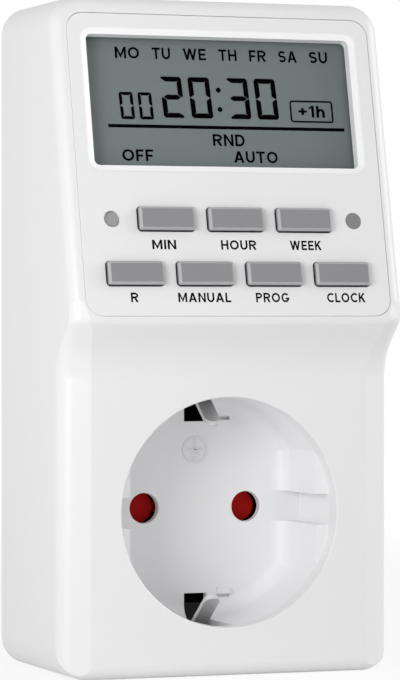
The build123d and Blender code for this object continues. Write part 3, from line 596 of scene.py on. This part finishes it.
def shutter_coil(material):
    """Coil spring under the shutter's right pad."""
    low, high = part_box("shutter_spring")
    foot = Vector((*[(low[axis] + high[axis]) / 2 for axis in (0, 1)], low[2] + SPRING_WIRE / 2 * MM))

    def draw(draft):
        count = SPRING_TURNS * SPRING_STEPS
        rise = SPRING_LENGTH / SPRING_TURNS / (2 * math.pi)
        corners = round_outline((0.0, 0.0), SPRING_WIRE / 2, WIRE_SIDES)
        rings = []
        for step in range(count + 1):
            turn = 2 * math.pi * step / SPRING_STEPS
            out = Vector((math.cos(turn), math.sin(turn), 0.0))
            along = Vector((-SPRING_RADIUS * out.y, SPRING_RADIUS * out.x, rise)).normalized()
            middle = out * SPRING_RADIUS + Vector((0.0, 0.0, SPRING_LENGTH * step / count))
            rings.append([draft.verts.new(middle + out * x + along.cross(out) * y) for x, y in corners])
        for first, second in zip(rings, rings[1:]):
            for index in range(WIRE_SIDES):
                following = (index + 1) % WIRE_SIDES
                draft.faces.new((first[index], first[following], second[following], second[index]))
        draft.faces.new(rings[0])
        draft.faces.new(rings[-1])

    place = Matrix.Translation(foot) @ Matrix.Scale(MM, 4)
    coil = make_piece("shutter_coil", draw, place, material)
    for face in coil.data.polygons:
        face.use_smooth = True
    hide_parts("shutter_spring")
    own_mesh(coil)


def surface(name, colour, roughness, grain=0.4, grain_depth=0.004, mottle=0.02, metallic=0.0,
            specular=0.5, stretch=(1.0, 1.0, 1.0), alpha=1.0):
    """Material with fine grain, in millimetres, a slightly uneven gloss and a slight change of tone."""
    material = bpy.data.materials.new(name)
    material.use_nodes = True
    nodes = material.node_tree.nodes
    links = material.node_tree.links
    shader = nodes["Principled BSDF"]
    shader.inputs["Metallic"].default_value = metallic
    shader.inputs["Specular IOR Level"].default_value = specular
    shader.inputs["Alpha"].default_value = alpha
    place = nodes.new("ShaderNodeTexCoord")
    scale = nodes.new("ShaderNodeMapping")
    scale.inputs["Scale"].default_value = stretch
    links.new(place.outputs["Object"], scale.inputs["Vector"])
    fine = nodes.new("ShaderNodeTexNoise")
    fine.inputs["Scale"].default_value = 1 / (grain * MM)
    fine.inputs["Detail"].default_value = GRAIN_DETAIL
    broad = nodes.new("ShaderNodeTexNoise")
    broad.inputs["Scale"].default_value = MOTTLE_SCALE
    broad.inputs["Detail"].default_value = MOTTLE_DETAIL
    for noise in (fine, broad):
        links.new(scale.outputs["Vector"], noise.inputs["Vector"])
    gloss = nodes.new("ShaderNodeMapRange")
    gloss.inputs["To Min"].default_value = max(LEAST_ROUGHNESS, roughness - GLOSS_SPREAD)
    gloss.inputs["To Max"].default_value = roughness + GLOSS_SPREAD
    links.new(fine.outputs["Fac"], gloss.inputs["Value"])
    links.new(gloss.outputs["Result"], shader.inputs["Roughness"])
    tone = nodes.new("ShaderNodeMix")
    tone.data_type = "RGBA"
    tone.inputs["A"].default_value = (*[part * (1 - mottle) for part in colour], 1.0)
    tone.inputs["B"].default_value = (*[min(1.0, part * (1 + mottle)) for part in colour], 1.0)
    links.new(broad.outputs["Fac"], tone.inputs["Factor"])
    links.new(tone.outputs["Result"], shader.inputs["Base Color"])
    bump = nodes.new("ShaderNodeBump")
    bump.inputs["Strength"].default_value = GRAIN_STRENGTH
    bump.inputs["Distance"].default_value = grain_depth * MM
    links.new(fine.outputs["Fac"], bump.inputs["Height"])
    links.new(bump.outputs["Normal"], shader.inputs["Normal"])
    return material


def shade_by_height(material, tones):
    """Scales a material's colour by how far a point stands out of the panel's face, to paint light and shade
    into it.
    """
    tree = material.node_tree
    to_panel = panel_matrix().inverted()
    colour = tree.nodes["Principled BSDF"].inputs["Base Color"]
    full = colour.links[0].from_socket
    place = tree.nodes.new("ShaderNodeTexCoord")
    height = tree.nodes.new("ShaderNodeVectorMath")
    height.operation = "DOT_PRODUCT"
    height.inputs[1].default_value = to_panel[2][:3]
    tree.links.new(place.outputs["Object"], height.inputs[0])
    lowest = tones[0][0]
    highest = tones[-1][0]
    share = tree.nodes.new("ShaderNodeMapRange")
    share.inputs["From Min"].default_value = lowest - to_panel[2][3]
    share.inputs["From Max"].default_value = highest - to_panel[2][3]
    tree.links.new(height.outputs["Value"], share.inputs["Value"])
    ramp = tree.nodes.new("ShaderNodeValToRGB")
    points = ramp.color_ramp.elements
    spots = [(level - lowest) / (highest - lowest) for level, tone in tones]
    for spot in spots[1:-1]:
        points.new(spot)
    for point, spot, (level, tone) in zip(points, spots, tones):
        point.position = spot
        point.color = (tone, tone, tone, 1.0)
    tree.links.new(share.outputs["Result"], ramp.inputs["Fac"])
    scaled = tree.nodes.new("ShaderNodeMix")
    scaled.data_type = "RGBA"
    scaled.blend_type = "MULTIPLY"
    scaled.inputs["Factor"].default_value = 1.0
    tree.links.new(full, scaled.inputs["A"])
    tree.links.new(ramp.outputs["Color"], scaled.inputs["B"])
    tree.links.new(scaled.outputs["Result"], colour)


def dress(material, *names):
    """Gives nodes a material in every slot."""
    for name in names:
        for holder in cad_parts[name].material_slots:
            holder.material = material


def dress_outside():
    """Materials of everything that the front, the sides and the back show."""
    white = surface("housing_plastic", (0.83, 0.83, 0.835), roughness=0.36, mottle=WHITE_MOTTLE)
    dress(white, "front_housing", "rear_cover")
    # Painted highlight: the panel's light colour is kept on the display's chamfer under its face, and the
    # rest of the panel is scaled down to the housing's tone
    panel = surface("panel_plastic", (0.97, 0.97, 0.975), roughness=0.42, mottle=WHITE_MOTTLE)
    shade_by_height(panel, PANEL_PAINTED_HIGHLIGHT)
    dress(panel, "control_panel")
    dress(surface("socket_plastic", (0.89, 0.89, 0.9), roughness=0.42, mottle=WHITE_MOTTLE), "socket_insert")
    # Painted shade: the earth sign is a little darker than the socket's floor, standing in for the shade
    # along its raised edges
    sign = surface("sign_plastic", (0.835, 0.835, 0.845), roughness=0.5, mottle=WHITE_MOTTLE)
    window = surface(
        "window_plastic", (0.01, 0.01, 0.01), roughness=0.06, grain=2.0, grain_depth=0.0005, alpha=0.02,
    )
    dress(window, "display_window")
    display = surface(
        "display_grey", (0.178, 0.212, 0.208), roughness=0.45, grain=0.3, grain_depth=0.001, specular=0.1,
    )
    dress(display, "display_glass")
    keys = [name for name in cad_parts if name.startswith("key_") and name != "key_mat"]
    key = surface("key_plastic", (0.42, 0.42, 0.435), roughness=0.35, grain=0.3)
    # Painted light on the keys: a painted shadow at their foot and a painted highlight on their bevels
    shade_by_height(key, KEY_PAINTED_LIGHT)
    dress(key, *keys)
    dress(surface("reset_plastic", (0.34, 0.34, 0.34), roughness=0.45, grain=0.3), "reset_button")
    lens = surface("lens_plastic", (0.22, 0.22, 0.225), roughness=0.2, grain=0.5, grain_depth=0.001)
    dress(lens, "indicator_lens")
    dress(surface("shutter_plastic", (0.66, 0.011, 0.011), roughness=0.6, specular=0.1), "shutter")
    along_clip = (1.0, 0.1, 1.0)
    steel = surface(
        "clip_steel", (0.72, 0.72, 0.725), roughness=0.4, metallic=0.3, stretch=along_clip, mottle=0.05,
    )
    dress(steel, "earth_bracket")
    along_pin = (0.1, 1.0, 0.1)
    nickel = surface(
        "pin_nickel", (0.62, 0.6, 0.56), roughness=0.25, metallic=1.0, stretch=along_pin, mottle=0.03,
    )
    dress(nickel, "live_plug_pin", "neutral_plug_pin", "plug_earth_strap")
    screw = surface("screw_zinc", (0.36, 0.36, 0.37), roughness=0.35, metallic=1.0, mottle=0.05)
    dress(screw, "housing_screws", "control_screws", "insert_screws", "base_screws", "power_screws")
    return sign, display


def dress_inside():
    """Materials of the pieces behind the housing."""
    brass = surface("contact_brass", (0.72, 0.52, 0.24), roughness=0.3, metallic=1.0, mottle=0.05)
    dress(brass, "live_contact_sleeve", "neutral_contact_sleeve")
    dress(brass, "neutral_link", "earth_link", "earth_sleeve")
    black = surface("frame_plastic", (0.004, 0.004, 0.004), roughness=0.6, specular=0.05)
    dress(black, "glass_holder", "contact_base", "control_chip")
    dress(surface("silicone", (0.2, 0.2, 0.21), roughness=0.6), "key_mat", "contact_strips")
    lacquer = surface("board_lacquer", (0.02, 0.16, 0.07), roughness=0.3, mottle=0.1)
    dress(lacquer, "control_board", "power_board")
    can = surface("can_steel", (0.62, 0.62, 0.62), roughness=0.3, metallic=1.0)
    dress(can, "timing_crystal", "backup_cell")
    dress(surface("relay_case", (0.02, 0.1, 0.35), roughness=0.35), "relay")
    dress(surface("film_case", (0.75, 0.5, 0.04), roughness=0.35), "film_capacitor")
    dress(surface("capacitor_sleeve", (0.02, 0.02, 0.025), roughness=0.3), "electrolytic_capacitor")
    dress(surface("resistor_lacquer", (0.55, 0.4, 0.24), roughness=0.35), "board_resistors")
    along_cable = (1.0, 0.05, 0.05)
    jacket = surface("cable_jacket", (0.35, 0.35, 0.36), roughness=0.5, stretch=along_cable)
    dress(jacket, "ribbon_cable")
    brown = surface("brown_insulation", (0.12, 0.05, 0.02), roughness=0.4)
    dress(brown, "live_outlet_lead", "live_inlet_lead")
    dress(surface("blue_insulation", (0.02, 0.08, 0.3), roughness=0.4), "neutral_lead")
    dress(surface("lamp_resin", (0.75, 0.2, 0.15), roughness=0.1, alpha=0.7), "indicator_lamp")


def seen_rays(tree):
    """Node output that is 1 for camera, glossy and transmission rays."""
    path = tree.nodes.new("ShaderNodeLightPath")
    seen = path.outputs["Is Camera Ray"]
    for other in ("Is Glossy Ray", "Is Transmission Ray"):
        larger = tree.nodes.new("ShaderNodeMath")
        larger.operation = "MAXIMUM"
        tree.links.new(seen, larger.inputs[0])
        tree.links.new(path.outputs[other], larger.inputs[1])
        seen = larger.outputs["Value"]
    return seen


def floor_material():
    """Pale floor that keeps the object's shadow and turns plain white away from it."""
    material = bpy.data.materials.new("floor_paper")
    material.use_nodes = True
    tree = material.node_tree
    shader = tree.nodes["Principled BSDF"]
    shader.inputs["Base Color"].default_value = FLOOR_COLOUR
    shader.inputs["Roughness"].default_value = FLOOR_ROUGHNESS
    shader.inputs["Specular IOR Level"].default_value = 0.0
    white = tree.nodes.new("ShaderNodeEmission")
    place = tree.nodes.new("ShaderNodeTexCoord")
    distance = tree.nodes.new("ShaderNodeVectorMath")
    distance.operation = "LENGTH"
    tree.links.new(place.outputs["Object"], distance.inputs[0])
    fade = tree.nodes.new("ShaderNodeMapRange")
    fade.interpolation_type = "SMOOTHSTEP"
    fade.inputs["From Min"].default_value = FLOOR_FADE[0]
    fade.inputs["From Max"].default_value = FLOOR_FADE[1]
    fade.inputs["To Min"].default_value = FLOOR_WHITE
    fade.inputs["To Max"].default_value = 1.0
    tree.links.new(distance.outputs["Value"], fade.inputs["Value"])
    share = tree.nodes.new("ShaderNodeMath")
    share.operation = "MULTIPLY"
    tree.links.new(fade.outputs["Result"], share.inputs[0])
    tree.links.new(seen_rays(tree), share.inputs[1])
    blend = tree.nodes.new("ShaderNodeMixShader")
    tree.links.new(share.outputs["Value"], blend.inputs["Fac"])
    tree.links.new(shader.outputs["BSDF"], blend.inputs[1])
    tree.links.new(white.outputs["Emission"], blend.inputs[2])
    tree.links.new(blend.outputs["Shader"], tree.nodes["Material Output"].inputs["Surface"])
    return material


def make_stage():
    """Floor at the level of the object's lowest point."""
    half = FLOOR_SIZE / 2
    mesh = bpy.data.meshes.new("floor")
    corners = [(-half, -half, 0.0), (half, -half, 0.0), (half, half, 0.0), (-half, half, 0.0)]
    mesh.from_pydata(corners, [], [(0, 1, 2, 3)])
    mesh.materials.append(floor_material())
    ground = bpy.data.objects.new("floor", mesh)
    ground.location = (0.0, 0.0, cad_bounds[0][2])
    bpy.context.scene.collection.objects.link(ground)


def make_world(strength):
    """Even light of a strength from all round, seen as plain white."""
    world = bpy.data.worlds.new("studio")
    world.use_nodes = True
    tree = world.node_tree
    soft = tree.nodes["Background"]
    soft.inputs["Color"].default_value = WHITE
    soft.inputs["Strength"].default_value = strength
    white = tree.nodes.new("ShaderNodeBackground")
    white.inputs["Color"].default_value = WHITE
    white.inputs["Strength"].default_value = 1.0
    blend = tree.nodes.new("ShaderNodeMixShader")
    tree.links.new(seen_rays(tree), blend.inputs["Fac"])
    tree.links.new(soft.outputs["Background"], blend.inputs[1])
    tree.links.new(white.outputs["Background"], blend.inputs[2])
    tree.links.new(blend.outputs["Shader"], tree.nodes["World Output"].inputs["Surface"])
    bpy.context.scene.world = world


def add_lamp(name, place, size, power):
    """Square soft lamp, in metres and watts, that faces the middle of the object."""
    light = bpy.data.lights.new(name, "AREA")
    light.shape = "SQUARE"
    light.size = size
    light.energy = power
    lamp = bpy.data.objects.new(name, light)
    lamp.location = place
    low, high = cad_bounds
    middle = (Vector(low) + Vector(high)) / 2
    lamp.rotation_euler = (middle - Vector(place)).to_track_quat("-Z", "Y").to_euler()
    bpy.context.scene.collection.objects.link(lamp)


def make_camera():
    """Level camera whose picture is shifted so that upright edges stay parallel."""
    lens = bpy.data.cameras.new("camera")
    lens.sensor_width = SENSOR
    lens.sensor_fit = "AUTO"
    lens.lens = FOCAL_PIXELS * SENSOR / IMAGE_HEIGHT
    lens.shift_y = (HORIZON_ROW - IMAGE_HEIGHT / 2) / IMAGE_HEIGHT
    lens.clip_start = CLIP_START * MM
    camera = bpy.data.objects.new("camera", lens)
    camera.location = Vector(CAMERA_PLACE) * MM
    camera.rotation_euler = (math.pi / 2, 0.0, -math.radians(VIEW_TURN))
    bpy.context.scene.collection.objects.link(camera)
    bpy.context.scene.camera = camera


sign_material, display_material = dress_outside()
dress_inside()
ink_material = surface(
    "ink", (0.004, 0.004, 0.005), roughness=0.6, grain=0.2, grain_depth=0.001, specular=0.05,
)
figure_material = surface("display_ink", (0.001, 0.001, 0.001), roughness=0.6, grain=0.2, specular=0.0)
key_labels(ink_material)
display_film(display_material)
display_figures(figure_material)
earth_sign(sign_material)
shutter_coil(surface("spring_wire", (0.5, 0.5, 0.51), roughness=0.35, metallic=1.0, mottle=0.05))
make_stage()
make_world(WORLD_LIGHT)
for lamp_values in LAMPS:
    add_lamp(*lamp_values)
make_camera()
bpy.context.scene.view_settings.view_transform = "Standard"
